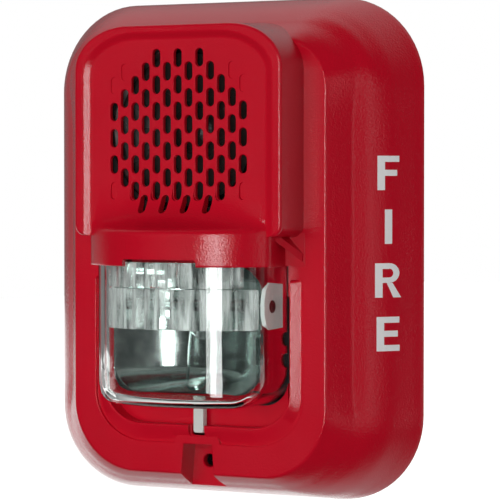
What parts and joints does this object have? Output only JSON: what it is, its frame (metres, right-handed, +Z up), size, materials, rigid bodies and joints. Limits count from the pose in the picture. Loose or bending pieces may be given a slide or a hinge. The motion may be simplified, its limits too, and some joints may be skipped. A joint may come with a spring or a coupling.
{
  "type": "horn strobe",
  "caption": "Red wall-mounted fire alarm horn strobe: slotted sounder grille above a clear strobe lens, on a hook-on wall plate.",
  "frame": {"origin": "middle of the mounting plate's wall face", "axes": "+Y out of the wall face into the wall, +Z up along the longest side, +X to the right as one faces the device"},
  "size_m": [0.119, 0.0495, 0.1436],
  "materials": {
    "red_housing": "moulded, fine texture",
    "black_moulding": "moulded",
    "grey_moulding": "moulded",
    "white_moulding": "moulded",
    "clear_lens": "clear, polished mould",
    "tube_glass": "drawn glass",
    "reflector_film": "vacuum metallised",
    "zinc_steel": "zinc plated",
    "dark_steel": "blackened",
    "contact_metal": "tinned",
    "board": "solder mask",
    "component": "moulded",
    "magnet": "sintered",
    "cone_paper": "treated paper",
    "foam": "closed cell foam",
    "coil_wire": "enamelled wire"
  },
  "bodies": {
    "wall_side": {"mounting_plate": "black_moulding", "terminal_block": "grey_moulding", "shorting_spring": "contact_metal"},
    "head": {"front_housing": "red_housing", "rear_cover": "black_moulding", "cover_screw_1": "zinc_steel", "cover_screw_2": "zinc_steel", "cover_screw_3": "zinc_steel", "cover_screw_4": "zinc_steel", "circuit_board": "board", "flash_capacitor": "component", "trigger_coil": "component", "power_inductor": "coil_wire", "control_chip": "component", "board_shield": "black_moulding", "contact_pin_1": "contact_metal", "contact_pin_2": "contact_metal", "contact_pin_3": "contact_metal", "contact_pin_4": "contact_metal", "sounder_gasket": "foam", "sounder_basket": "zinc_steel", "sounder_magnet": "magnet", "lens": "clear_lens", "lens_latch": "white_moulding", "reflector": "reflector_film", "flash_tube": "tube_glass", "electrode_left": "zinc_steel", "electrode_right": "zinc_steel"},
    "selector": {"candela_slider": "white_moulding"},
    "dial": {"tone_dial": "white_moulding"},
    "cone": {"sounder_cone": "cone_paper"},
    "screw_carrier": {"retaining_washer": "white_moulding"},
    "screw": {"mounting_screw": "dark_steel"},
    "clamp_1": {"clamp_plate_1": "zinc_steel"},
    "clamp_screw_1": {"terminal_screw_1": "zinc_steel"},
    "clamp_2": {"clamp_plate_2": "zinc_steel"},
    "clamp_screw_2": {"terminal_screw_2": "zinc_steel"},
    "clamp_3": {"clamp_plate_3": "zinc_steel"},
    "clamp_screw_3": {"terminal_screw_3": "zinc_steel"},
    "clamp_4": {"clamp_plate_4": "zinc_steel"},
    "clamp_screw_4": {"terminal_screw_4": "zinc_steel"}
  },
  "joints": [
    {"name": "head_tilt", "type": "hinge", "parent": "wall_side", "child": "head", "pos_m": [0, -0.0045, 0.0653], "axis": [-1, 0, 0], "range_deg": [0, 8]},
    {"name": "candela_travel", "type": "slide", "parent": "head", "child": "selector", "axis": [0, 0, -1], "range_m": [0, 0.021]},
    {"name": "dial_turn", "type": "hinge", "parent": "head", "child": "dial", "pos_m": [0.036, -0.0051, 0.02], "axis": [0, 1, 0], "range_deg": [0, 315]},
    {"name": "cone_travel", "type": "slide", "parent": "head", "child": "cone", "axis": [0, -1, 0], "range_m": [-0.0008, 0.0008], "stiffness_N_per_m": 1200},
    {"name": "screw_travel", "type": "slide", "parent": "head", "child": "screw_carrier", "axis": [0, -1, 0], "range_m": [0, 0.00315]},
    {"name": "screw_turn", "type": "hinge", "parent": "screw_carrier", "child": "screw", "pos_m": [0, -0.0148, -0.0607], "axis": [0, -1, 0], "range_deg": [0, 2521]},
    {"name": "clamp_1_travel", "type": "slide", "parent": "wall_side", "child": "clamp_1", "axis": [0, -1, 0], "range_m": [0, 0.00158]},
    {"name": "clamp_1_turn", "type": "hinge", "parent": "clamp_1", "child": "clamp_screw_1", "pos_m": [-0.0165, -0.0077, -0.026], "axis": [0, -1, 0], "range_deg": [0, 721]},
    {"name": "clamp_2_travel", "type": "slide", "parent": "wall_side", "child": "clamp_2", "axis": [0, -1, 0], "range_m": [0, 0.00158]},
    {"name": "clamp_2_turn", "type": "hinge", "parent": "clamp_2", "child": "clamp_screw_2", "pos_m": [-0.0055, -0.0077, -0.026], "axis": [0, -1, 0], "range_deg": [0, 721]},
    {"name": "clamp_3_travel", "type": "slide", "parent": "wall_side", "child": "clamp_3", "axis": [0, -1, 0], "range_m": [0, 0.00158]},
    {"name": "clamp_3_turn", "type": "hinge", "parent": "clamp_3", "child": "clamp_screw_3", "pos_m": [0.0055, -0.0077, -0.026], "axis": [0, -1, 0], "range_deg": [0, 721]},
    {"name": "clamp_4_travel", "type": "slide", "parent": "wall_side", "child": "clamp_4", "axis": [0, -1, 0], "range_m": [0, 0.00158]},
    {"name": "clamp_4_turn", "type": "hinge", "parent": "clamp_4", "child": "clamp_screw_4", "pos_m": [0.0165, -0.0077, -0.026], "axis": [0, -1, 0], "range_deg": [0, 721]}
  ],
  "couplings": [
    {"joint": "screw_turn", "follows": "screw_travel", "rad_per_m": 13963},
    {"joint": "clamp_1_turn", "follows": "clamp_1_travel", "rad_per_m": 7953.4},
    {"joint": "clamp_2_turn", "follows": "clamp_2_travel", "rad_per_m": 7953.4},
    {"joint": "clamp_3_turn", "follows": "clamp_3_travel", "rad_per_m": 7953.4},
    {"joint": "clamp_4_turn", "follows": "clamp_4_travel", "rad_per_m": 7953.4}
  ]
}
